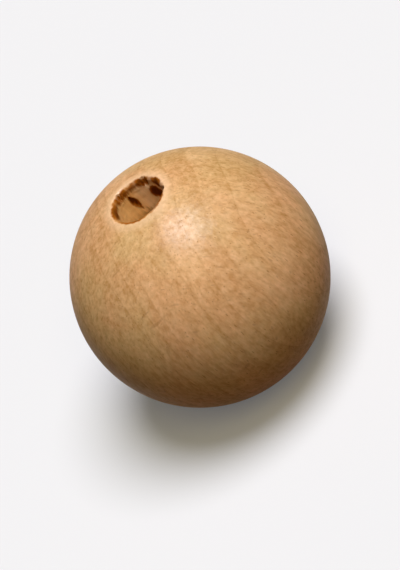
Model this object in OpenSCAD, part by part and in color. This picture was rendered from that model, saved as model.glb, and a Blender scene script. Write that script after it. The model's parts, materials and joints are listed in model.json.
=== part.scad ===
// A turned wooden bead: a ball with a bore through its middle for a cord.
// The bore runs along Z, the origin is the middle of the ball, and sizes are in millimetres.

/* [Ball] */
// Diameter of the ball
ball_d = 25; // [16:0.5:40]

/* [Bore] */
// Diameter of the bore
bore_d = 5; // [3:0.5:8]
// Radius that the edge is eased to at both mouths
mouth_r = 0.5; // [0.3:0.1:1.2]

/* [Tear-outs round the upper mouth] */
// Width of the largest tear-out, where it opens into the bore
tear_w = 1.6; // [0.5:0.1:2.5]
// How far the largest tear-out bites into the rim, past the bore's wall
tear_reach = 0.5; // [0.3:0.1:1.2]
// How far the largest tear-out runs down the bore's wall
tear_depth = 1.8; // [0.8:0.1:3]

/* [Splinter plucked from the bore's wall] */
// Length of the gouge along the bore
gouge_l = 2; // [0.8:0.1:3]
// Width of the gouge round the bore
gouge_w = 0.5; // [0.2:0.05:0.8]
// Depth of the gouge in the wall
gouge_depth = 0.3; // [0.1:0.05:0.6]
// How far below the upper rim the gouge has its middle
gouge_below = 2.1; // [1.8:0.1:6]

/* [Hidden] */
$fn = 96;

ball_r = ball_d / 2;
bore_r = bore_d / 2;

// The eased edge is part of a circle that reaches this far past the ball and past the bore's
// wall, so that it crosses both at a slight angle. Curves that only touch leave slivers.
crossing = 0.002;
edge_x = bore_r - crossing + mouth_r;
edge_from_middle = ball_r + crossing - mouth_r;
edge_z = sqrt(edge_from_middle ^ 2 - edge_x ^ 2);
rim_z = edge_z + mouth_r;

// Each tear-out's place round the rim in degrees, its size as a share of the largest, and how
// far to one side its point lies, as a share of its width
TEARS = [
    [-30, 1, 0.25],
    [54, 0.75, -0.2],
    [116, 0.65, 0.1],
    [190, 0.45, -0.3]
];

// The gouge's place round the bore, and how far it slants from the bore's line, in degrees
GOUGE_ANGLE = 96;
GOUGE_SLANT = 13;

// What easing takes off one mouth: the corner between the bore and the ball, as far as the
// line from the ball's middle through the middle of the eased edge
module mouth_corner() {
    outside = 2;
    difference() {
        polygon([[0, edge_z], [edge_x, edge_z], [edge_x, edge_z] * outside, [0, edge_z] * outside]);
        translate([edge_x, edge_z]) circle(r = mouth_r);
    }
}

// Half of the bead's section, to be turned about the bore
module half_section() {
    difference() {
        circle(d = ball_d);
        translate([-ball_d, -ball_d]) square([ball_d + bore_r, 2 * ball_d]);
        mouth_corner();
        mirror([0, 1]) mouth_corner();
    }
}

// The splinter that is missing from one tear-out: a pointed sliver along the grain, which leans
// in as it goes down and so runs out in the bore's wall
module splinter(angle, share, skew) {
    width = tear_w * share;
    reach = tear_reach * share;
    lean = atan(tear_reach / tear_depth);
    below = (tear_depth * share + mouth_r) / cos(lean);
    rotate([0, 0, angle])
        translate([bore_r + reach, 0, rim_z])
        rotate([0, lean, 0])
        translate([0, 0, -below])
        linear_extrude(height = below + mouth_r)
        polygon([[0, skew * width], [-reach, width / 2], [-reach - bore_r / 2, 0], [-reach, -width / 2]]);
}

// The gouge that a plucked splinter left in the wall: long, narrow and pointed at both ends
module gouge() {
    rotate([0, 0, GOUGE_ANGLE])
        translate([0, 0, rim_z - gouge_below])
        rotate([0, 90, 0])
        rotate([0, 0, -GOUGE_SLANT])
        linear_extrude(height = bore_r + gouge_depth)
        polygon([[-gouge_l / 2, 0], [0, gouge_w / 2], [gouge_l / 2, 0], [0, -gouge_w / 2]]);
}

module bead() {
    color("burlywood")
        difference() {
            rotate_extrude() half_section();
            for (tear = TEARS) splinter(tear[0], tear[1], tear[2]);
            gouge();
        }
}

bead();
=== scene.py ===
"""A turned wooden bead with a drilled bore: its mesh, its wood, and a plain studio to look at it in.

Everything is in metres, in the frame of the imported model: the bore runs along Z and the origin is
the middle of the ball. Names that end in _mm are millimetres, which suit wood's small features.
"""

import json
import math

import bpy
import numpy as np
from mathutils import Matrix, Vector, noise


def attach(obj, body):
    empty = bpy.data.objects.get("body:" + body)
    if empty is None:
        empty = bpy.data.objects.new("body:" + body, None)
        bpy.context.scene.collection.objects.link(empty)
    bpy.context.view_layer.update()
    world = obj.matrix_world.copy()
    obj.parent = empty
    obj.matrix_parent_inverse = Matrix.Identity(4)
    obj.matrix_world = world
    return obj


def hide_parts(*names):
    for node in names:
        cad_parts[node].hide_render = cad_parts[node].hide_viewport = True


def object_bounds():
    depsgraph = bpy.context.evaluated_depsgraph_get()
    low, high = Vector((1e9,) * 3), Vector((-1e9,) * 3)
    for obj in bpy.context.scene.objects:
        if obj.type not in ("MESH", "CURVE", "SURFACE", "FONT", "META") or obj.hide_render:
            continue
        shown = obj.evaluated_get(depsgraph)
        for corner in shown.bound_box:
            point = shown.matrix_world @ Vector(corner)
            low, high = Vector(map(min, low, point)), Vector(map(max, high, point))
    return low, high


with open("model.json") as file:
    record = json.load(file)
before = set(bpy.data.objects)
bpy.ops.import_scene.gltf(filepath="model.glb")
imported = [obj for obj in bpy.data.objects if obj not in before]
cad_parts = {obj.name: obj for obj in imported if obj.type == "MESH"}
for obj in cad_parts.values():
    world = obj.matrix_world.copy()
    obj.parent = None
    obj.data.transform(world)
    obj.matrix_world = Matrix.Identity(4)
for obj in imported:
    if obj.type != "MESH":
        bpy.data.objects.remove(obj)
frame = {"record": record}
CAD_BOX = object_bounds()

bl_info = {
    "name": "Turned Wooden Bead",
    "version": (1, 0, 0),
    "blender": (4, 5, 0),
    "location": "3D Viewport > Sidebar > Bead",
    "description": "Makes a turned and drilled wooden bead, its wood and a small studio",
    "category": "Add Mesh",
}

MM = 0.001
LAMP_COLOUR = (1.0, 1.0, 1.0)
WARM_COLOUR = (1.0, 0.86, 0.42)
# Each lamp's direction from the bead as (right, upwards, backwards) in the picture, the degrees that
# it looks wide, and its colour
LAMPS = {
    "key": ((-0.21, 0.7, 0.69), 36, LAMP_COLOUR),
    "fill": ((-0.1, 0.22, 0.97), 28, WARM_COLOUR),
    "back": ((-0.3, 0.45, -0.6), 60, WARM_COLOUR),
}
# The part of the light on the floor that comes back up at the bead
BOUNCE_COLOUR = (0.1, 0.058, 0.025)

# What properties of one kind have in common
LENGTH = {"min": 0.0, "subtype": "DISTANCE", "unit": "LENGTH"}
COLOUR = {"min": 0.0, "max": 1.0, "subtype": "COLOR"}
SHARE = {"min": 0.0, "max": 1.5, "subtype": "FACTOR"}
ANGLE = {"subtype": "ANGLE", "unit": "ROTATION"}

# ---------------------------------------------------------------------------------------------
# Sizes that come from the frame
# ---------------------------------------------------------------------------------------------


def bore_mount():
    """The record's mount for the bore."""
    return next(mount for mount in frame["record"]["mounts"] if mount["name"] == "cord_bore")


BALL_RADIUS = max(CAD_BOX[1].x, CAD_BOX[1].y)
RIM_HEIGHT = CAD_BOX[1].z
BORE_RADIUS = bore_mount()["dims"]["r_mm"] * MM


def eased_edge_radius():
    """Radius of the round edge that touches the ball and the bore's wall and tops out at the rim."""
    slack = BALL_RADIUS + BORE_RADIUS - RIM_HEIGHT
    power = RIM_HEIGHT**2 + BORE_RADIUS**2 - BALL_RADIUS**2
    return math.sqrt(slack**2 - power) - slack


EDGE_RADIUS = eased_edge_radius()
EDGE_X = BORE_RADIUS + EDGE_RADIUS
EDGE_Z = RIM_HEIGHT - EDGE_RADIUS

# ---------------------------------------------------------------------------------------------
# Where the tools left their marks
# ---------------------------------------------------------------------------------------------

# Each tear-out's place round the upper mouth in degrees, its size as a share of the largest, and
# how far to one side its point lies, as a share of its width
TEARS = ((-30, 1.0, 0.25), (54, 0.75, -0.2), (116, 0.65, 0.1), (190, 0.45, -0.3))
# Where a splinter was plucked from the wall: degrees round the bore, distance below the rim, and
# degrees that its line slants from the bore's
GOUGE_ANGLE, GOUGE_BELOW, GOUGE_SLANT = 96, 2.1 * MM, 13
# Where a mark of painted shade darkens the wall on its shaded side: degrees round the bore, and distance
# below the rim
SHADE_MARK_ANGLE, SHADE_MARK_BELOW = 36.87, 2.0 * MM
# Where the mouth's ring is darkest, partly scorched by the drill and partly painted shade in the
# tear-outs and on the shaded side: degrees round the bore, strength, and degrees to where it fades
BURNS_AND_SHADE = (
    (14, 1.0, 15),
    (55, 1.0, 15),
    (84, 0.4, 16),
    (114, 0.95, 18),
    (160, 0.8, 24),
    (235, 0.5, 40),
    (310, 0.5, 30),
)
LEAST_BURN_AND_SHADE = 0.2

# Rows of faces along each stretch of the bead's section
LOWER_WALL_ROWS, UPPER_WALL_ROWS = 34, 54
UPPER_EDGE_ROWS, BALL_ROWS, LOWER_EDGE_ROWS = 20, 146, 14

# How far apart the patches of noise lie that two seeds pick
SEED_SHIFT = 17.3


# ---------------------------------------------------------------------------------------------
# What a user may change
# ---------------------------------------------------------------------------------------------


class BeadShape(bpy.types.PropertyGroup):
    """Sizes of the small features that the tools and wear left on the bead."""

    columns: bpy.props.IntProperty(
        name="Columns", description="Number of faces round the bead", default=320, min=64, max=340
    )
    tear_width: bpy.props.FloatProperty(
        name="Tear-out Width", description="Width of the largest tear-out", default=1.6 * MM, **LENGTH
    )
    tear_reach: bpy.props.FloatProperty(
        name="Tear-out Reach",
        description="How far the largest tear-out bites past the bore's wall",
        default=0.5 * MM,
        **LENGTH,
    )
    tear_depth: bpy.props.FloatProperty(
        name="Tear-out Depth",
        description="How far the largest tear-out runs down the bore's wall",
        default=1.8 * MM,
        **LENGTH,
    )
    nicks: bpy.props.FloatProperty(
        name="Nicks",
        description="Size of the small nicks all round the upper mouth",
        default=0.16 * MM,
        **LENGTH,
    )
    gouge_length: bpy.props.FloatProperty(
        name="Gouge Length", description="Length of the gouge in the wall", default=2.0 * MM, **LENGTH
    )
    gouge_width: bpy.props.FloatProperty(
        name="Gouge Width", description="Width of the gouge in the wall", default=0.5 * MM, **LENGTH
    )
    gouge_depth: bpy.props.FloatProperty(
        name="Gouge Depth", description="Depth of the gouge in the wall", default=0.3 * MM, **LENGTH
    )
    ripple: bpy.props.FloatProperty(
        name="Ripple",
        description="Height of the slow waves that sanding left on the ball",
        default=0.024 * MM,
        **LENGTH,
    )
    drill_marks: bpy.props.FloatProperty(
        name="Drill Marks",
        description="Depth of the scratches that the drill left on the wall",
        default=0.05 * MM,
        **LENGTH,
    )


class BeadWood(bpy.types.PropertyGroup):
    """Colours and figure of the wood."""

    light_wood: bpy.props.FloatVectorProperty(
        name="Light Wood",
        description="Colour of the palest wood",
        default=(0.85, 0.532, 0.292),
        **COLOUR,
    )
    dark_wood: bpy.props.FloatVectorProperty(
        name="Dark Wood",
        description="Colour of the darkest wood",
        default=(0.47, 0.236, 0.071),
        **COLOUR,
    )
    fleck_brown: bpy.props.FloatVectorProperty(
        name="Flecks",
        description="Colour of the ray flecks and pores",
        default=(0.32, 0.145, 0.035),
        **COLOUR,
    )
    raw_wood: bpy.props.FloatVectorProperty(
        name="Raw Wood",
        description="Colour of the bare wood in the bore",
        default=(1.0, 0.58, 0.22),
        **COLOUR,
    )
    # Painted light: this colour lightens the ball just outside the mouths as a painted sheen, and the
    # shaded side of the bore as painted fill light
    painted_light_wood: bpy.props.FloatVectorProperty(
        name="Pale Wood",
        description="Colour of the lip and of the pale side of the bore",
        default=(1.0, 0.71, 0.48),
        **COLOUR,
    )
    # Partly painted shade: this colour browns the drilled edges and the stain round the gouge, and also
    # torn wood and the ring where they stand for shade
    toasted_and_shade: bpy.props.FloatVectorProperty(
        name="Toasted",
        description="Colour of wood that the drill browned",
        default=(0.34, 0.1, 0.008),
        **COLOUR,
    )
    # Partly painted shade: this colour blackens the scorched edges, and also the shaded parts of the ring
    # and the dark mark on the wall
    scorch_and_shade: bpy.props.FloatVectorProperty(
        name="Scorch",
        description="Colour of wood that the drill burnt",
        default=(0.06, 0.009, 0.001),
        **COLOUR,
    )
    ring_width_mm: bpy.props.FloatProperty(
        name="Ring Width",
        description="Growth in one year, in millimetres",
        default=2.3,
        min=0.3,
        max=8.0,
    )
    height_mm: bpy.props.FloatProperty(
        name="Height",
        description="Height in the tree that the bead was cut from, in millimetres",
        default=718.0,
        min=0.0,
    )
    grain_slope: bpy.props.FloatProperty(
        name="Grain Slope",
        description="Angle between the grain and the bore",
        default=math.radians(9),
        **ANGLE,
    )


class BeadStudio(bpy.types.PropertyGroup):
    """Floor, lamps and view."""

    floor_colour: bpy.props.FloatVectorProperty(
        name="Floor",
        description="Colour of the floor as the camera sees it",
        default=(0.69, 0.695, 0.752),
        **COLOUR,
    )
    key_share: bpy.props.FloatProperty(
        name="Key Light",
        description="Share of the light that comes from the main lamp",
        default=1.02,
        **SHARE,
    )
    fill_share: bpy.props.FloatProperty(
        name="Fill Light",
        description="Share of the light that comes from near the camera",
        default=0.2,
        **SHARE,
    )
    back_share: bpy.props.FloatProperty(
        name="Back Light",
        description="Share of the light that comes from behind",
        default=0.05,
        **SHARE,
    )
    sky_share: bpy.props.FloatProperty(
        name="Sky Light",
        description="Share of the light that comes from all round",
        default=0.005,
        **SHARE,
    )
    glow: bpy.props.FloatProperty(
        name="Floor Glow",
        description="How pale the floor stays in the bead's shadow",
        default=0.12,
        **SHARE,
    )
    view_from_bore: bpy.props.FloatProperty(
        name="View Angle",
        description="Angle between the bore and the line of sight",
        default=math.radians(51.2),
        **ANGLE,
    )
    roll: bpy.props.FloatProperty(
        name="Roll",
        description="How far the bore leans to the left in the picture",
        default=math.radians(39.3),
        **ANGLE,
    )


# ---------------------------------------------------------------------------------------------
# Mesh
# ---------------------------------------------------------------------------------------------


def arc(centre, radius, start, end, count):
    """Points and outward normals along an arc in the (r, z) plane, without its last point."""
    angles = np.linspace(start, end, count, endpoint=False)
    normals = np.column_stack([np.cos(angles), np.sin(angles)])
    return np.asarray(centre) + radius * normals, normals


def bead_section():
    """Points and normals of the closed section: from the foot of the wall up, out over the upper
    mouth, down the ball and in at the lower mouth."""
    tangent = math.atan2(EDGE_Z, EDGE_X)
    # The wall's rows crowd towards its ends, and most towards the upper mouth, where it is torn
    steps = np.concatenate([np.geomspace(2, 12, LOWER_WALL_ROWS), np.geomspace(12, 1, UPPER_WALL_ROWS)])
    share = np.concatenate([[0], np.cumsum(steps)[:-1]]) / steps.sum()
    wall = np.column_stack([np.full_like(share, BORE_RADIUS), EDGE_Z * (2 * share - 1)])
    inwards = np.tile((-1.0, 0.0), (len(share), 1))
    upper, upper_normals = arc((EDGE_X, EDGE_Z), EDGE_RADIUS, math.pi, tangent, UPPER_EDGE_ROWS)
    ball, ball_normals = arc((0, 0), BALL_RADIUS, tangent, -tangent, BALL_ROWS)
    lower, lower_normals = arc((EDGE_X, -EDGE_Z), EDGE_RADIUS, -tangent, -math.pi, LOWER_EDGE_ROWS)
    points = np.concatenate([wall, upper, ball, lower])
    normals = np.concatenate([inwards, upper_normals, ball_normals, lower_normals])
    return points, normals


def wave(x, y, z, scale, seed):
    """Smooth noise from -1 to 1 at each place, with features about scale across."""
    places = np.column_stack([x / scale + SEED_SHIFT * seed, y / scale, z / scale])
    return np.array([noise.noise(Vector(place)) for place in places])


def round_the_bore(points, degrees):
    """Distance out from the bore's wall, and sideways from the line at this angle round the bore."""
    turn = np.arctan2(points[:, 1], points[:, 0]) - math.radians(degrees)
    across = np.hypot(points[:, 0], points[:, 1])
    facing = np.cos(turn) > 0
    return across * np.cos(turn) - BORE_RADIUS, np.where(facing, across * np.sin(turn), math.inf)


def from_the_gouge(points, shape):
    """Distance out from the bore's wall, and how far from the gouge's middle, with its outline at 1."""
    out, side = round_the_bore(points, GOUGE_ANGLE)
    slant = math.radians(GOUGE_SLANT)
    side = np.clip(side, -2 * BORE_RADIUS, 2 * BORE_RADIUS)
    down = RIM_HEIGHT - points[:, 2] - GOUGE_BELOW
    along = down * math.cos(slant) - side * math.sin(slant)
    across = down * math.sin(slant) + side * math.cos(slant)
    half_length, half_width = shape.gouge_length / 2, shape.gouge_width / 2
    # The ends are frayed into fibres, and the sides are a little ragged
    frayed = 0.22 * MM * wave(across, 0 * across, 0.2 * along, 0.07 * MM, 5)
    ragged = 0.05 * MM * wave(along, 0 * along, across, 0.3 * MM, 6)
    near_end = np.minimum(np.abs(along) / half_length, 2)
    lengthwise = (along + frayed * near_end) / half_length
    return out, np.abs(lengthwise) ** 1.4 + np.abs(across + ragged) / half_width


def burn_and_shade_share(x, y):
    """How dark each side of the mouth's ring is, from 0 to 1: partly scorched wood and partly painted
    shade.
    """
    degrees = np.degrees(np.arctan2(y, x))
    burnt = np.full_like(degrees, LEAST_BURN_AND_SHADE)
    for place, strength, spread in BURNS_AND_SHADE:
        apart = (degrees - place + 180) % 360 - 180
        burnt = np.maximum(burnt, strength * np.exp(-((apart / spread) ** 2)))
    return burnt


def missing_wood(points, shape):
    """How far inside the missing splinters each place is. It is above 0 in the air that they left."""
    x, y, z = points.T
    down = RIM_HEIGHT - z
    outwards = np.hypot(x, y) - BORE_RADIUS
    lean = shape.tear_reach / shape.tear_depth
    # Broken fibres are ridges along the grain, which change little as they go down
    fibres = (wave(x, y, 0.1 * z, 0.2 * MM, 1) * 0.1 + wave(x, y, 0.25 * z, 0.08 * MM, 2) * 0.05) * MM
    # The nicks run out a little way down the eased edge
    nicks = shape.nicks * wave(x, y, 0.15 * z, 0.4 * MM, 3) + 0.4 * fibres
    field = nicks - outwards - 0.35 * (down - 0.2 * EDGE_RADIUS)
    for place, share, skew in TEARS:
        out, side = round_the_bore(points, place)
        width, reach = shape.tear_width * share, shape.tear_reach * share
        side = side - skew * width
        flank = width * np.where(side > 0, 0.5 - skew, 0.5 + skew)
        profile = 1 - (np.abs(side) / flank) ** 1.7
        field = np.maximum(field, reach * profile - lean * down + fibres - out)
    # The gouge has steep sides and a flat, fibrous floor
    out, share = from_the_gouge(points, shape)
    sides = np.minimum(1, 2.5 * (1 - share))
    gouge = shape.gouge_depth * sides + 0.5 * fibres * (sides > 0) - out
    return np.maximum(field, gouge)


def carve(points, shape, rows):
    """Moves the vertices of these rows towards a ring deep in the wood until they are clear of the
    missing splinters. Returns their new places, and how far each one went."""
    heart = 2.6 * MM
    step, limit = 0.01 * MM, 1.2 * shape.tear_reach
    outwards = points[:, :2] / np.hypot(points[:, 0], points[:, 1])[:, None]
    centre = np.column_stack([outwards * (BORE_RADIUS + heart), np.full(len(points), RIM_HEIGHT - heart)])
    inwards = centre - points
    inwards /= np.linalg.norm(inwards, axis=1)[:, None]
    moved = np.zeros(len(points))
    active = np.flatnonzero(rows)
    active = active[missing_wood(points[active], shape) > 0]
    while len(active):
        moved[active] += step
        here = points[active] + inwards[active] * moved[active, None]
        active = active[(missing_wood(here, shape) > 0) & (moved[active] < limit)]
    return points + inwards * moved[:, None], moved


def turn_about_bore(pairs, columns):
    """A sheet of (x, y, z) from (r, z) pairs: a row for each pair, all round the bore."""
    turn = np.linspace(0, math.tau, columns, endpoint=False)
    ring = np.column_stack([np.cos(turn), np.sin(turn)])
    flat = pairs[:, None, 0, None] * ring[None]
    height = np.broadcast_to(pairs[:, None, 1, None], (len(pairs), columns, 1))
    return np.concatenate([flat, height], axis=2).reshape(-1, 3)


def sheet_faces(rows, columns):
    """Quads between neighbours on the sheet, which closes on itself both ways."""
    row = np.arange(rows)[:, None]
    column = np.arange(columns)
    here = row * columns
    following = (row + 1) % rows * columns
    beside = (column + 1) % columns
    corners = [here + column, following + column, following + beside, here + beside]
    return np.stack(corners, axis=2).reshape(-1, 4)


def on_the_wall(radius):
    """1 on the bore's wall, and less and less over the eased edge."""
    return np.clip((EDGE_X - radius) / EDGE_RADIUS, 0, 1)


def tool_marks(points, shape):
    """How far in the surface lies where sanding left the ball wavy and the drill scratched the wall."""
    x, y, z = points.T
    radius = np.hypot(x, y)
    on_ball = np.clip((radius - EDGE_X) / (2 * MM), 0, 1)
    ripple = wave(x, y, z, 4.5 * MM, 1) * 0.7 + wave(x, y, z, 1.8 * MM, 2) * 0.3
    # The scratches wind round the wall as the drill went down
    spiral = np.arctan2(y, x) / math.tau * 0.45 * MM
    scratches = wave(0 * x, 0 * y, z + spiral, 0.14 * MM, 3) + wave(x, y, z, 0.5 * MM, 4)
    inset = on_ball * shape.ripple * (0.5 - 0.5 * ripple)
    return inset + on_the_wall(radius) * shape.drill_marks * (0.5 + 0.5 * scratches)


def bead_mesh(shape):
    """The bead as one closed sheet of quads, which runs round the section and round the bore."""
    section, section_normals = bead_section()
    rows, columns = len(section), shape.columns
    turned = turn_about_bore(section, columns)
    normals = turn_about_bore(section_normals, columns)
    x, y, z = turned.T
    radius = np.hypot(x, y)

    lowest = EDGE_Z - max(shape.tear_depth, GOUGE_BELOW + shape.gouge_length / 2)
    near_mouth = (z > lowest) & (radius < EDGE_X + shape.tear_reach)
    points, torn = carve(turned, shape, near_mouth)
    points = points - normals * tool_marks(turned, shape)[:, None]

    mesh = bpy.data.meshes.new("bead_wood")
    mesh.from_pydata(points.tolist(), [], sheet_faces(rows, columns).tolist())
    mesh.shade_smooth()
    # The wall is stained a little way round the gouge
    stain = (1.9 - from_the_gouge(points, shape)[1]) / 0.9
    masks = {
        "torn": (torn - 0.08 * MM) / (0.15 * MM),
        "stain": stain * on_the_wall(radius),
        # The ring's share: partly scorched wood and partly painted shade
        "burnt": burn_and_shade_share(x, y),
    }
    for name, values in masks.items():
        mesh.attributes.new(name, "FLOAT", "POINT").data.foreach_set("value", np.clip(values, 0, 1))
    lay_out(mesh, section, rows, columns)
    return mesh


def lay_out(mesh, section, rows, columns):
    """A map of the sheet: round the bore across, and along the section up."""
    along = np.concatenate([[0], np.cumsum(np.hypot(*np.diff(section, axis=0).T))])
    along = np.append(along, along[-1] + np.hypot(*(section[0] - section[-1])))
    along /= along[-1]
    column = np.tile(np.arange(columns), rows)
    row = np.repeat(np.arange(rows), columns)
    u = np.stack([column, column, column + 1, column + 1], axis=1) / columns
    v = np.stack([along[row], along[row + 1], along[row + 1], along[row]], axis=1)
    layer = mesh.uv_layers.new(name="OFBake")
    margin = 0.004
    places = margin + (1 - 2 * margin) * np.stack([u, v], axis=2).reshape(-1)
    layer.data.foreach_set("uv", places)


# ---------------------------------------------------------------------------------------------
# Shader nodes
# ---------------------------------------------------------------------------------------------

IN_MILLIMETRES = (1 / MM, 1 / MM, 1 / MM)


class Nodes:
    """Adds nodes to one tree and joins what they are given: a socket is linked, and a value is set."""

    # A Mix node has sockets of the same names for each kind of data, so the colour ones go by number
    MIX_INPUTS = (0, 6, 7)
    MIX_RESULT = 2

    def __init__(self, tree):
        self.tree = tree

    def give(self, socket, value):
        if isinstance(value, bpy.types.NodeSocket):
            self.tree.links.new(value, socket)
        else:
            socket.default_value = value

    def add(self, kind, inputs=None, **settings):
        node = self.tree.nodes.new("ShaderNode" + kind)
        row, column = divmod(len(self.tree.nodes), 12)
        node.location = (170 * column, -230 * row)
        for name, value in settings.items():
            setattr(node, name, value)
        for name, value in (inputs or {}).items():
            self.give(node.inputs[name], value)
        return node

    def group(self, tree, inputs):
        return self.add("Group", inputs, node_tree=tree).outputs

    def math(self, operation, *values):
        node = self.add("Math", dict(enumerate(values)), operation=operation)
        return node.outputs[0]

    def times(self, first, second):
        return self.math("MULTIPLY", first, second)

    def greatest(self, first, *others):
        for other in others:
            first = self.math("MAXIMUM", first, other)
        return first

    def weighted(self, *parts, base=0.0):
        """The base and each mask times its own weight, added up."""
        for mask, weight in parts:
            base = self.math("MULTIPLY_ADD", mask, weight, base)
        return base

    def vector(self, operation, *values):
        node = self.add("VectorMath", dict(enumerate(values)), operation=operation)
        return node.outputs["Value" if operation in ("LENGTH", "DISTANCE", "DOT_PRODUCT") else "Vector"]

    def scaled(self, vector, factors):
        return self.vector("MULTIPLY", vector, factors)

    def noise(self, vector, scale, detail=2.0, roughness=0.5):
        inputs = {"Vector": vector, "Scale": scale, "Detail": detail, "Roughness": roughness}
        return self.add("TexNoise", inputs).outputs["Fac"]

    def mask(self, name):
        """A value that the mesh stores at its vertices."""
        return self.add("Attribute", attribute_name=name).outputs["Fac"]

    def rise(self, value, low, high):
        """From 0 at low to 1 at high, with soft ends."""
        inputs = {"Value": value, "From Min": low, "From Max": high}
        return self.add("MapRange", inputs, interpolation_type="SMOOTHSTEP").outputs["Result"]

    def mix(self, factor, first, second, blend="MIX"):
        node = self.add("Mix", data_type="RGBA", blend_type=blend)
        for number, value in zip(self.MIX_INPUTS, (factor, first, second)):
            self.give(node.inputs[number], value)
        return node.outputs[self.MIX_RESULT]


def rgb(colour):
    """The colour with an alpha of 1, as a colour socket takes it."""
    return (*colour, 1.0)


def group_nodes(name, inputs, outputs):
    """Starts a node group. Returns its nodes, its inputs by name, and a function that takes its
    outputs and ends it."""
    tree = bpy.data.node_groups.new(name, "ShaderNodeTree")
    for direction, sockets in (("INPUT", inputs), ("OUTPUT", outputs)):
        for label, kind, default in sockets:
            socket = tree.interface.new_socket(label, in_out=direction, socket_type="NodeSocket" + kind)
            if default is not None:
                socket.default_value = default
    nodes = Nodes(tree)
    start = tree.nodes.new("NodeGroupInput")
    end = tree.nodes.new("NodeGroupOutput")

    def put_out(**results):
        for label, socket in results.items():
            tree.links.new(socket, end.inputs[label.replace("_", " ")])
        return tree

    return nodes, start.outputs, put_out


def log_space_group():
    """Where each place lay in the log, in millimetres. Rings holds its distance from the pith, its
    distance round the pith and its height, and Wood holds its place with the grain along Z."""
    nodes, given, put_out = group_nodes(
        "Log Space",
        [
            ("Position", "Vector", None),
            ("Pith", "Vector", (58.0, -14.0, 0.0)),
            ("Height", "Float", 0.0),
            ("Slope", "Float", 0.15),
        ],
        [("Rings", "Vector", None), ("Wood", "Vector", None)],
    )
    lean = {
        "Vector": nodes.scaled(given["Position"], IN_MILLIMETRES),
        "Axis": (0.35, 0.94, 0.0),
        "Angle": given["Slope"],
    }
    upright = nodes.add("VectorRotate", lean, rotation_type="AXIS_ANGLE").outputs[0]
    upright = nodes.vector("ADD", upright, nodes.add("CombineXYZ", {2: given["Height"]}).outputs[0])
    # The stem was not quite straight and round, so the grain wanders a little
    stretched = nodes.scaled(upright, (1.0, 1.0, 0.35))
    slow = nodes.add("TexNoise", {"Vector": stretched, "Scale": 0.09, "Detail": 1.0}).outputs["Color"]
    wander = nodes.vector("SUBTRACT", slow, (0.5, 0.5, 0.5))
    wood = nodes.vector("ADD", upright, nodes.scaled(wander, (2.8, 2.8, 0.0)))
    x, y, z = nodes.add("SeparateXYZ", {0: nodes.vector("ADD", wood, given["Pith"])}).outputs
    radius = nodes.vector("LENGTH", nodes.add("CombineXYZ", {0: x, 1: y}).outputs[0])
    around = nodes.times(nodes.math("ARCTAN2", y, x), nodes.vector("LENGTH", given["Pith"]))
    rings = nodes.add("CombineXYZ", {0: radius, 1: around, 2: z}).outputs[0]
    return put_out(Rings=rings, Wood=wood)


def annual_rings_group():
    """Late wood of each year's growth: a soft band that ends at a line."""
    nodes, given, put_out = group_nodes(
        "Annual Rings",
        [("Rings", "Vector", None), ("Ring Width", "Float", 2.0)],
        [("Late Wood", "Float", None), ("Year Line", "Float", None)],
    )
    radius = nodes.add("SeparateXYZ", {0: given["Rings"]}).outputs[0]
    years = nodes.math("DIVIDE", radius, given["Ring Width"])
    # Some years were better than others
    uneven = nodes.add("TexNoise", {"W": years, "Scale": 0.6, "Detail": 1.0}, noise_dimensions="1D")
    age = nodes.math("FRACT", nodes.weighted((uneven.outputs["Fac"], 1.8), base=years))
    band = nodes.times(nodes.rise(age, 0.2, 0.92), nodes.rise(age, 1.0, 0.94))
    line = nodes.times(nodes.rise(age, 0.84, 0.93), nodes.rise(age, 1.0, 0.96))
    return put_out(Late_Wood=band, Year_Line=line)


def flecks_group():
    """Short dashes scattered through the wood: cut vessels or rays, by their spacing and size."""
    nodes, given, put_out = group_nodes(
        "Flecks",
        [
            ("Place", "Vector", None),
            ("Spacing", "Vector", (1.0, 1.0, 1.0)),
            ("Size", "Float", 0.2),
            ("Share", "Float", 0.7),
        ],
        [("Fleck", "Float", None)],
    )
    place = nodes.vector("DIVIDE", given["Place"], given["Spacing"])
    bend = nodes.add("TexNoise", {"Vector": given["Place"], "Scale": 0.7, "Detail": 1.0}).outputs["Color"]
    cells = nodes.add("TexVoronoi", {"Vector": nodes.vector("ADD", place, bend), "Scale": 1.0})
    chance = nodes.add("SeparateXYZ", {0: cells.outputs["Color"]}).outputs[0]
    absent = nodes.math("SUBTRACT", 1.0, given["Share"])
    size = nodes.times(given["Size"], nodes.rise(chance, absent, 1.0))
    inside = nodes.rise(cells.outputs["Distance"], size, nodes.times(size, 0.4))
    return put_out(Fleck=inside)


def fibres_group():
    """Streaks along the grain, from 0 to 1."""
    nodes, given, put_out = group_nodes(
        "Fibres",
        [("Wood", "Vector", None), ("Fineness", "Float", 3.0), ("Stretch", "Float", 0.08)],
        [("Streak", "Float", None)],
    )
    stretch = nodes.add("CombineXYZ", {0: 1.0, 1: 1.0, 2: given["Stretch"]}).outputs[0]
    place = nodes.vector("MULTIPLY", given["Wood"], stretch)
    return put_out(Streak=nodes.rise(nodes.noise(place, given["Fineness"], 3.0, 0.6), 0.28, 0.72))


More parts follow.
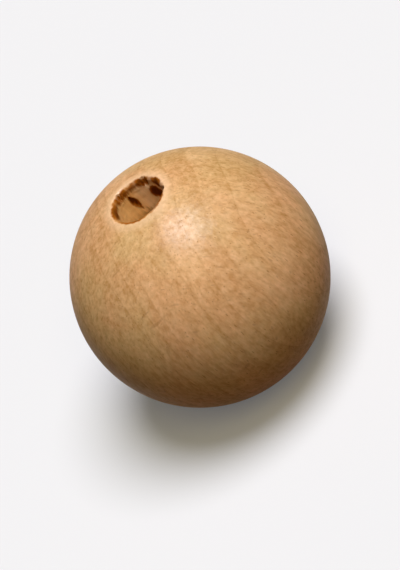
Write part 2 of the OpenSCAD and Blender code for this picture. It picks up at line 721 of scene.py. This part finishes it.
def bore_edge_group():
    """Where a place lies on the way into the bore. Sizes are in millimetres.

    Wall is the bare wall, and the next output the dark ring round the mouth, partly scorched wood and
    partly painted shade in the tear-outs and on the shaded side, together with the dark mark on the wall,
    which is painted shade. Pale is the shaded +X side of the wall, where painted light goes, Lip the ball
    just outside the mouths, where a painted sheen goes, and Depth the distance below the nearer rim."""
    nodes, given, put_out = group_nodes(
        "Bore Edge",
        [
            ("Position", "Vector", None),
            ("Bore Radius", "Float", 2.5),
            ("Edge Radius", "Float", 0.5),
            ("Rim Height", "Float", 12.0),
            ("Shade Mark", "Vector", (2.0, 1.5, 10.0)),
            ("Burnt", "Float", 1.0),
        ],
        [(name, "Float", None) for name in ("Wall", "Burn", "Pale", "Lip", "Depth")],
    )

    def fibrous(along, scale):
        """Noise from -0.5 to 0.5 that is stretched along the bore."""
        stretched = nodes.scaled(place, (1.0, 1.0, along))
        return nodes.math("SUBTRACT", nodes.noise(stretched, scale, 3.0, 0.6), 0.5)

    place = nodes.scaled(given["Position"], IN_MILLIMETRES)
    x, _, z = nodes.add("SeparateXYZ", {0: place}).outputs
    ragged = fibrous(0.3, 2.2)
    frayed = fibrous(0.06, 6.0)
    down = nodes.math("SUBTRACT", given["Rim Height"], nodes.math("ABSOLUTE", z))

    # The drill rubbed most on the -Y side, so what it did there reaches further out
    rubbed = nodes.vector("ADD", nodes.scaled(place, (1.0, 1.0, 0.0)), (0.0, 0.18, 0.0))
    outwards = nodes.math("SUBTRACT", nodes.vector("LENGTH", rubbed), given["Bore Radius"])
    outwards = nodes.weighted((ragged, 0.5), base=outwards)
    outwards = nodes.math("DIVIDE", outwards, given["Edge Radius"])

    # The dark ring starts on the eased edge and runs out down the fibres, reaching deepest where its
    # share is largest. It is partly scorched wood and partly painted shade in the tear-outs and on the
    # shaded side
    patchy = nodes.noise(nodes.scaled(place, (1.0, 1.0, 0.15)), 0.9, 2.0)
    reach = nodes.weighted((given["Burnt"], 0.5), base=patchy)
    below = nodes.weighted((ragged, 0.4), (frayed, 1.2), (reach, -0.7), base=down)
    ring = nodes.times(nodes.rise(outwards, 1.05, 0.5), nodes.rise(below, 0.78, -0.12))
    ring = nodes.times(ring, nodes.weighted((given["Burnt"], 0.7), base=0.2))

    # Painted shade: a dark mark on the wall, on its side that the key light misses
    away = nodes.vector("DISTANCE", place, given["Shade Mark"])
    mark = nodes.rise(nodes.weighted((ragged, 0.8), base=away), 1.1, 0.4)
    return put_out(
        Wall=nodes.rise(outwards, 0.95, 0.5),
        Burn=nodes.greatest(ring, nodes.times(mark, 0.95)),
        Pale=nodes.rise(nodes.weighted((ragged, 0.6), base=x), -0.4, 1.2),
        Lip=nodes.rise(outwards, 3.2, 1.0),
        Depth=down,
    )


def grain_marks(nodes, wood, place):
    """What grew in the wood: the place in the log, and masks from 0 to 1."""
    given = {"Position": place, "Height": wood.height_mm, "Slope": wood.grain_slope}
    log = nodes.group(log_space_group(), given)
    grown = log["Wood"]
    rings = nodes.group(annual_rings_group(), {"Rings": log["Rings"], "Ring Width": wood.ring_width_mm})
    flecks = flecks_group()
    fibres = fibres_group()

    def fleck(place, spacing, size):
        given = {"Place": place, "Spacing": spacing, "Size": size, "Share": 0.8}
        return nodes.group(flecks, given)["Fleck"]

    def streak(fineness, stretch):
        return nodes.group(fibres, {"Wood": grown, "Fineness": fineness, "Stretch": stretch})["Streak"]

    def patches(scale, detail, roughness, softness, along=0.5):
        patchy = nodes.noise(nodes.scaled(grown, (1.0, 1.0, along)), scale, detail, roughness)
        return nodes.rise(patchy, 0.5 - softness, 0.5 + softness)

    return {
        "grown": grown,
        "late wood": rings["Late Wood"],
        "year line": rings["Year Line"],
        "pore": fleck(grown, (0.2, 0.2, 1.4), 0.3),
        "ray": fleck(log["Rings"], (4.0, 0.3, 1.1), 0.32),
        "streak": streak(1.3, 0.12),
        "fine streak": streak(5.0, 0.16),
        "wall streak": streak(3.2, 0.08),
        "mottle": patches(2.3, 3.0, 0.6, 0.25),
        "cloud": patches(0.22, 2.0, 0.5, 0.2),
        "drift": patches(0.14, 1.0, 0.5, 0.15, along=0.6),
        "thick finish": patches(2.6, 3.0, 0.6, 0.18),
    }


def bore_marks(nodes, place):
    """What the drill and wear did in and round the bore, and where shade and light are painted there:
    masks from 0 to 1, and the depth.
    """
    # Where the mark of painted shade lies on the wall
    angle = math.radians(SHADE_MARK_ANGLE)
    flat = BORE_RADIUS * math.cos(angle), BORE_RADIUS * math.sin(angle)
    mouth = nodes.group(
        bore_edge_group(),
        {
            "Position": place,
            "Bore Radius": BORE_RADIUS / MM,
            "Edge Radius": EDGE_RADIUS / MM,
            "Rim Height": RIM_HEIGHT / MM,
            "Shade Mark": Vector((*flat, RIM_HEIGHT - SHADE_MARK_BELOW)) / MM,
            "Burnt": nodes.mask("burnt"),
        },
    )
    torn, stain = nodes.mask("torn"), nodes.mask("stain")
    # Torn wood is darkened too, partly as dirt and partly as painted shade in the tear-outs, and stained
    # wood as a stain, both less than the ring
    darkened = nodes.greatest(mouth["Burn"], nodes.times(torn, 0.7), nodes.times(stain, 0.65))
    return {
        "wall": mouth["Wall"],
        "pale": mouth["Pale"],
        "lip": mouth["Lip"],
        "depth": mouth["Depth"],
        "darkened": darkened,
        "raw": nodes.greatest(mouth["Wall"], torn, darkened),
    }


def turned_colour(nodes, wood, marks):
    """Colour of the ball: light to dark wood whose hue wanders, with brown rays and pores."""
    darkness = nodes.weighted(
        (marks["late wood"], 0.12),
        (marks["year line"], 0.08),
        (marks["streak"], 0.2),
        (marks["fine streak"], 0.24),
        (marks["mottle"], 0.4),
        (marks["cloud"], 0.16),
    )
    colour = nodes.mix(darkness, rgb(wood.light_wood), rgb(wood.dark_wood))
    # From warmer to cooler within a millimetre or two, and from pinker to greener across the bead
    warmer, cooler = (1.04, 0.97, 0.93), (0.965, 1.03, 1.06)
    pinker, greener = (1.03, 0.975, 0.99), (0.975, 1.015, 0.96)
    warmth = nodes.mix(nodes.noise(marks["grown"], 0.8, 2.0), rgb(warmer), rgb(cooler))
    drift = nodes.mix(marks["drift"], rgb(pinker), rgb(greener))
    colour = nodes.mix(1.0, colour, warmth, "MULTIPLY")
    colour = nodes.mix(1.0, colour, drift, "MULTIPLY")
    colour = nodes.mix(nodes.times(marks["ray"], 0.35), colour, rgb(wood.fleck_brown))
    return nodes.mix(nodes.times(marks["pore"], 0.75), colour, rgb(wood.fleck_brown))


def bore_colour(nodes, wood, marks, colour):
    """The ball's colour, and over it the lip's painted sheen, the bare wall's colour with painted light
    on its shaded side and painted shade deep down, and darkened wood that is partly scorched and partly
    painted shade.
    """
    # Painted sheen: the ball just outside the mouths is mixed towards a paler colour
    colour = nodes.mix(nodes.times(marks["lip"], 0.36), colour, rgb(wood.painted_light_wood))
    # Painted light: the bare wall's shaded +X side is mixed towards a paler colour
    bare = nodes.mix(marks["pale"], rgb(wood.raw_wood), rgb(wood.painted_light_wood))
    # Painted shade: the bare wall darkens deep in the bore, more than about 3.6 mm below the rim, where
    # little light reaches
    deep = nodes.rise(nodes.weighted((marks["wall streak"], 0.6), base=marks["depth"]), 3.6, 4.4)
    bare = nodes.mix(nodes.weighted((marks["wall streak"], 0.26), (deep, 0.5)), bare, rgb(wood.dark_wood))
    colour = nodes.mix(marks["wall"], colour, bare)
    # Darkened wood: partly scorched and stained, partly painted shade in the tear-outs, on the ring's
    # shaded side and in the dark mark
    colour = nodes.mix(nodes.rise(marks["darkened"], 0.0, 0.55), colour, rgb(wood.toasted_and_shade))
    return nodes.mix(nodes.rise(marks["darkened"], 0.45, 1.15), colour, rgb(wood.scorch_and_shade))


def wood_relief(nodes, marks, place):
    """Height of the grain and of the rough wood, as a share of the bump's distance. The place is in
    metres, so a noise of scale 900 has features of about a millimetre."""
    rough = nodes.noise(nodes.scaled(place, (1.0, 1.0, 0.2)), 9000.0, 3.0)
    return nodes.weighted(
        (marks["pore"], -1.0),
        (marks["fine streak"], -0.3),
        (marks["ray"], 0.15),
        (marks["mottle"], 0.5),
        (nodes.noise(place, 900.0, 2.0), 0.5),
        (nodes.times(rough, marks["raw"]), 2.0),
    )


def finish_weight(nodes, marks):
    """How much finish lies on the wood. It lies unevenly and not on raw wood, and it is too rough to
    mirror its surroundings where it is seen from the side."""
    uneven = nodes.weighted((marks["thick finish"], 0.75), (marks["pore"], -0.5), base=0.5)
    aslant = nodes.add("LayerWeight", {"Blend": 0.5}).outputs["Facing"]
    smooth = nodes.math("SUBTRACT", 1.0, marks["raw"])
    finish = nodes.times(nodes.times(smooth, nodes.rise(aslant, 0.5, 0.08)), uneven)
    return nodes.times(finish, 0.85)


def wood_material(wood):
    """Turned wood with a thin rubbed finish, bare in the bore and rough where it is torn."""
    material = bpy.data.materials.new("Turned Wood")
    material.use_nodes = True
    material.node_tree.nodes.clear()
    nodes = Nodes(material.node_tree)
    place = nodes.add("TexCoord").outputs["Object"]
    marks = grain_marks(nodes, wood, place) | bore_marks(nodes, place)
    uneven = (nodes.noise(place, 700.0, 3.0), 0.14)
    roughness = nodes.weighted(uneven, (marks["pore"], 0.2), (marks["raw"], 0.3), base=0.4)
    relief = {"Height": wood_relief(nodes, marks, place), "Strength": 0.6, "Distance": 0.02 * MM}
    surface = nodes.add(
        "BsdfPrincipled",
        {
            "Base Color": bore_colour(nodes, wood, marks, turned_colour(nodes, wood, marks)),
            "Roughness": roughness,
            "Specular IOR Level": 0.03,
            "Normal": nodes.add("Bump", relief).outputs[0],
            "Coat Weight": finish_weight(nodes, marks),
            "Coat Roughness": 0.33,
        },
    )
    nodes.add("OutputMaterial", {"Surface": surface.outputs[0]})
    return material


# ---------------------------------------------------------------------------------------------
# Operators
# ---------------------------------------------------------------------------------------------


class BEAD_OT_turn_bead(bpy.types.Operator):
    """Make the wooden bead: a drilled ball with eased and torn mouths"""

    bl_idname = "bead.turn_bead"
    bl_label = "Turn Bead"

    def execute(self, context):
        scene = context.scene
        bead = bpy.data.objects.new("wooden_bead", bead_mesh(scene.bead_shape))
        scene.collection.objects.link(bead)
        bead.data.materials.append(wood_material(scene.bead_wood))
        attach(bead, "root")
        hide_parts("bead")
        return {"FINISHED"}


def view_axes(studio):
    """Unit vectors to the right, upwards and backwards in the picture. The bore leans away from the
    viewer, and to the left."""
    angle, roll = studio.view_from_bore, studio.roll
    backwards = Vector((0, -math.sin(angle), math.cos(angle)))
    upright = Vector((0, math.cos(angle), math.sin(angle)))
    level = Vector((1, 0, 0))
    right = level * math.cos(roll) - upright * math.sin(roll)
    return right, level * math.sin(roll) + upright * math.cos(roll), backwards


def look_back_from(place, upwards):
    """The matrix of a camera or lamp at this place that looks at the middle of the bead."""
    backwards = place.normalized()
    right = upwards.cross(backwards).normalized()
    turn = Matrix((right, backwards.cross(right), backwards)).transposed()
    return Matrix.Translation(place) @ turn.to_4x4()


def seen_rays(nodes):
    """1 for the rays that show the background: those from the camera, off mirrors and through glass."""
    rays = nodes.add("LightPath").outputs
    return nodes.greatest(rays["Is Camera Ray"], rays["Is Glossy Ray"], rays["Is Transmission Ray"])


def studio_floor(studio):
    """A plain pale floor under the bead, which throws little light back at it."""
    side = 4.0
    corners = [(-side, -side), (side, -side), (side, side), (-side, side)]
    mesh = bpy.data.meshes.new("floor")
    mesh.from_pydata([(x, y, CAD_BOX[0].z) for x, y in corners], [], [(0, 1, 2, 3)])
    material = bpy.data.materials.new("Plain Floor")
    material.use_nodes = True
    material.node_tree.nodes.clear()
    nodes = Nodes(material.node_tree)
    seen = seen_rays(nodes)
    glow = rgb(lamp * studio.glow for lamp in LAMP_COLOUR)
    surface = nodes.add(
        "BsdfPrincipled",
        {
            "Base Color": nodes.mix(seen, rgb(BOUNCE_COLOUR), rgb(studio.floor_colour)),
            "Specular IOR Level": 0.0,
            "Emission Color": nodes.mix(seen, rgb((0.0, 0.0, 0.0)), glow),
            "Emission Strength": 1.0,
        },
    )
    nodes.add("OutputMaterial", {"Surface": surface.outputs[0]})
    mesh.materials.append(material)
    floor = bpy.data.objects.new("floor", mesh)
    bpy.context.scene.collection.objects.link(floor)


def studio_lamp(name, studio, share):
    """A far, round lamp. A matte face that looks at it shows this share of its own colour. Returns the
    light that the level floor gets."""
    direction, spread, colour = LAMPS[name]
    lamp = bpy.data.lights.new(name, "SUN")
    lamp.angle = math.radians(spread)
    lamp.energy = math.pi * share
    lamp.color = colour
    axes = view_axes(studio)
    towards = sum((axis * part for axis, part in zip(axes, direction)), Vector()).normalized()
    holder = bpy.data.objects.new(name, lamp)
    holder.matrix_world = look_back_from(towards, axes[1])
    bpy.context.scene.collection.objects.link(holder)
    return Vector(colour) * share * towards.z


def studio_sky(studio, floor_light):
    """An even sky: as bright as the lit floor where it is seen, and faint as a light."""
    world = bpy.data.worlds.new("sky")
    world.use_nodes = True
    world.node_tree.nodes.clear()
    nodes = Nodes(world.node_tree)
    faint = Vector(LAMP_COLOUR) * studio.sky_share
    glow = Vector(LAMP_COLOUR) * studio.glow
    lit_floor = [own * light for own, light in zip(studio.floor_colour, floor_light + faint)]
    colour = nodes.mix(seen_rays(nodes), rgb(faint), rgb(Vector(lit_floor) + glow))
    background = nodes.add("Background", {"Color": colour, "Strength": 1.0})
    nodes.add("OutputWorld", {"Surface": background.outputs[0]})
    bpy.context.scene.world = world


def studio_camera(studio):
    """A long lens that looks at the bead across its upper mouth."""
    data = bpy.data.cameras.new("view")
    data.lens = 300
    data.clip_start = 0.01
    data.clip_end = 20.0
    camera = bpy.data.objects.new("view", data)
    _, upwards, backwards = view_axes(studio)
    # The picture is 2.18 balls high. It is taller than wide, so its height takes the sensor's long side
    picture_height = 2.18 * 2 * BALL_RADIUS
    distance = picture_height / data.sensor_width * data.lens
    camera.matrix_world = look_back_from(backwards * distance, upwards)
    # The bead sits a little above the middle, to leave room for its shadow
    headroom = 0.06 * BALL_RADIUS
    camera.location -= upwards * headroom
    bpy.context.scene.collection.objects.link(camera)
    bpy.context.scene.camera = camera


class BEAD_OT_set_stage(bpy.types.Operator):
    """Put a pale floor, soft lamps and a camera round the bead"""

    bl_idname = "bead.set_stage"
    bl_label = "Set Stage"

    def execute(self, context):
        studio = context.scene.bead_studio
        studio_floor(studio)
        key = studio_lamp("key", studio, studio.key_share)
        fill = studio_lamp("fill", studio, studio.fill_share)
        back = studio_lamp("back", studio, studio.back_share)
        studio_sky(studio, key + fill + back)
        studio_camera(studio)
        context.scene.view_settings.view_transform = "Standard"
        return {"FINISHED"}


class BEAD_PT_workshop(bpy.types.Panel):
    """The bead's sizes, wood and studio"""

    bl_idname = "BEAD_PT_workshop"
    bl_label = "Turned Bead"
    bl_space_type = "VIEW_3D"
    bl_region_type = "UI"
    bl_category = "Bead"

    def draw(self, context):
        scene = context.scene
        for group, operator in (
            (scene.bead_shape, None),
            (scene.bead_wood, BEAD_OT_turn_bead),
            (scene.bead_studio, BEAD_OT_set_stage),
        ):
            box = self.layout.box()
            for name in group.__annotations__:
                box.prop(group, name)
            if operator:
                box.operator(operator.bl_idname)


CLASSES = (BeadShape, BeadWood, BeadStudio, BEAD_OT_turn_bead, BEAD_OT_set_stage, BEAD_PT_workshop)


def register():
    for cls in CLASSES:
        bpy.utils.register_class(cls)
    bpy.types.Scene.bead_shape = bpy.props.PointerProperty(type=BeadShape)
    bpy.types.Scene.bead_wood = bpy.props.PointerProperty(type=BeadWood)
    bpy.types.Scene.bead_studio = bpy.props.PointerProperty(type=BeadStudio)


def unregister():
    del bpy.types.Scene.bead_shape, bpy.types.Scene.bead_wood, bpy.types.Scene.bead_studio
    for cls in reversed(CLASSES):
        bpy.utils.unregister_class(cls)


def main():
    register()
    bpy.ops.bead.set_stage()
    bpy.ops.bead.turn_bead()


if __name__ == "__main__":
    main()
